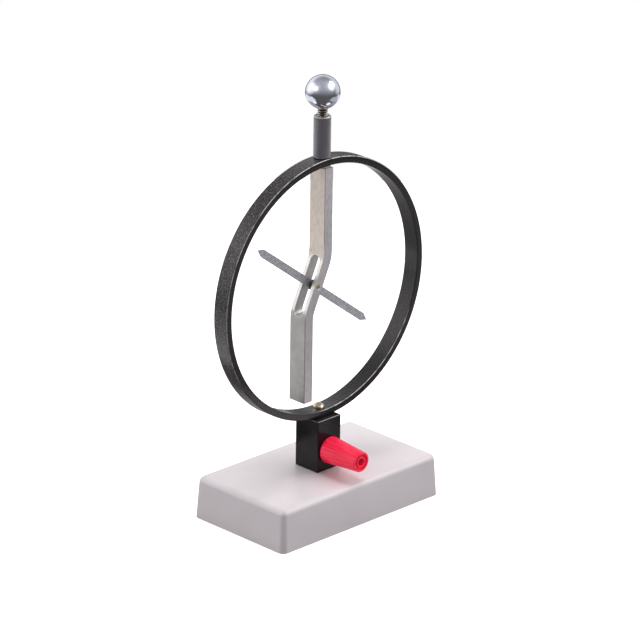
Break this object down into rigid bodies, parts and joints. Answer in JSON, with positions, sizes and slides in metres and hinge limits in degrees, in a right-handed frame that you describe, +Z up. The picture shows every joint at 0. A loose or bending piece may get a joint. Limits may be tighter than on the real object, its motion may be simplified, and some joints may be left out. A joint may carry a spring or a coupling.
{
  "type": "electroscope",
  "caption": "Pivoted-needle electroscope: a hoop case on a rectangular base, an insulated dog-leg bar with a ball knob and a balanced needle, and a screw terminal on the pillar.",
  "frame": {"origin": "centre of the base's underside, on the surface that it stands on", "axes": "+Z up, +X along the base and in the plane of the hoop, -Y towards the terminal"},
  "size_m": [0.15, 0.071, 0.2515],
  "materials": {
    "base_plastic": "fine matt moulded, warm light grey",
    "zinc_steel": "bright zinc plate",
    "spring_steel": "dull spring steel",
    "pillar_coat": "satin black coat",
    "hoop_coat": "hammered black coat, edges a little worn",
    "screw_brass": "yellow plated",
    "insulator": "satin dark grey",
    "stud_brass": "darkened thread",
    "knob_chrome": "polished",
    "bar_aluminium": "matt, edges of the slot bright from milling",
    "bearing_brass": "turned",
    "needle_aluminium": "matt, lightly speckled",
    "hub_metal": "turned, dull",
    "axle_steel": "ground",
    "post_brass": "turned, clean",
    "cap_red": "glossy red moulding with fine lengthwise ribs"
  },
  "bodies": {
    "stand": {"base_shell": "base_plastic", "base_screw": "zinc_steel", "base_flat_washer": "zinc_steel", "base_lock_washer": "spring_steel", "pillar_block": "pillar_coat", "hoop": "hoop_coat", "hoop_screw": "screw_brass", "insulating_bush": "insulator", "insulating_sleeve": "insulator", "knob_stud": "stud_brass", "ball_knob": "knob_chrome", "conductor_bar": "bar_aluminium", "front_bearing": "bearing_brass", "rear_bearing": "bearing_brass", "terminal_post": "post_brass"},
    "pointer": {"needle": "needle_aluminium", "needle_hub": "hub_metal", "hub_ring": "hub_metal", "needle_axle": "axle_steel"},
    "washer": {"clamp_washer": "post_brass"},
    "cap": {"cap_insert": "post_brass", "terminal_cap": "cap_red"}
  },
  "joints": [
    {"name": "needle_swing", "type": "hinge", "parent": "stand", "child": "pointer", "pos_m": [-0.0069, 0, 0.13324], "axis": [0, 1, 0], "range_deg": [-84, 55]},
    {"name": "cap_travel", "type": "slide", "parent": "stand", "child": "washer", "axis": [0, -1, 0], "range_m": [0, 0.003]},
    {"name": "cap_turn", "type": "hinge", "parent": "washer", "child": "cap", "pos_m": [0, -0.0088, 0.0366], "axis": [0, -1, 0], "range_deg": [0, 1080]}
  ],
  "couplings": [
    {"joint": "cap_travel", "follows": "cap_turn", "m_per_rad": 0.00015915}
  ]
}
